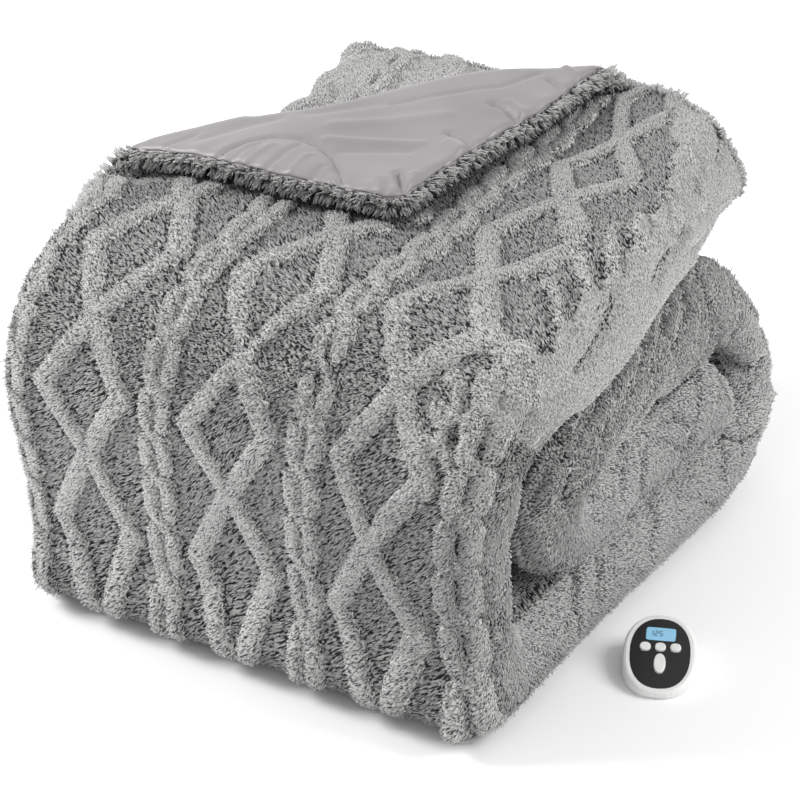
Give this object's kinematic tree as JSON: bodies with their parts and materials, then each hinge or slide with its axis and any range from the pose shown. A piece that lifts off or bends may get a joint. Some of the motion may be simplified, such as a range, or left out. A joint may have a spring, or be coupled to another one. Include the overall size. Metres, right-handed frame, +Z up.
{
  "type": "electric heated blanket",
  "caption": "Plush heated blanket with a raised cable-and-diamond pattern and a satin back, folded and rolled into a soft pack, one corner turned back, with its oval push-button controller.",
  "frame": {"origin": "on the flat underside of the folded pack, at floor level, near the middle of its footprint", "axes": "+Z up; +X towards the side where the rounded folds show and where the controller lies; -Y towards the front, down which the strip of cloth runs"},
  "size_m": [0.6732, 0.6606, 0.4355],
  "materials": {
    "plush": "mid-grey plush pile, the raised pattern a little lighter than the ground",
    "satin": "smooth grey satin with a slight violet cast and a soft sheen",
    "controller_shell": "white moulded plastic, satin smooth",
    "controller_face": "black gloss plastic",
    "display": "light-blue backlit display window",
    "keys": "white matte plastic"
  },
  "bodies": {
    "blanket_and_controller": {"blanket": "plush", "satin_back": "satin", "controller_body": "controller_shell", "controller_face": "controller_face", "controller_display": "display"},
    "left_button": {"button_left": "keys"},
    "middle_button": {"button_middle": "keys"},
    "right_button": {"button_right": "keys"},
    "long_key": {"key_long": "keys"}
  },
  "joints": [
    {"name": "press_left", "type": "slide", "parent": "blanket_and_controller", "child": "left_button", "axis": [-0.1236, 0.265, -0.9563], "range_m": [0, 0.0012], "stiffness_N_per_m": 250},
    {"name": "press_middle", "type": "slide", "parent": "blanket_and_controller", "child": "middle_button", "axis": [-0.1236, 0.265, -0.9563], "range_m": [0, 0.0012], "stiffness_N_per_m": 250},
    {"name": "press_right", "type": "slide", "parent": "blanket_and_controller", "child": "right_button", "axis": [-0.1236, 0.265, -0.9563], "range_m": [0, 0.0012], "stiffness_N_per_m": 250},
    {"name": "press_long_key", "type": "slide", "parent": "blanket_and_controller", "child": "long_key", "axis": [-0.1236, 0.265, -0.9563], "range_m": [0, 0.0012], "stiffness_N_per_m": 250}
  ]
}
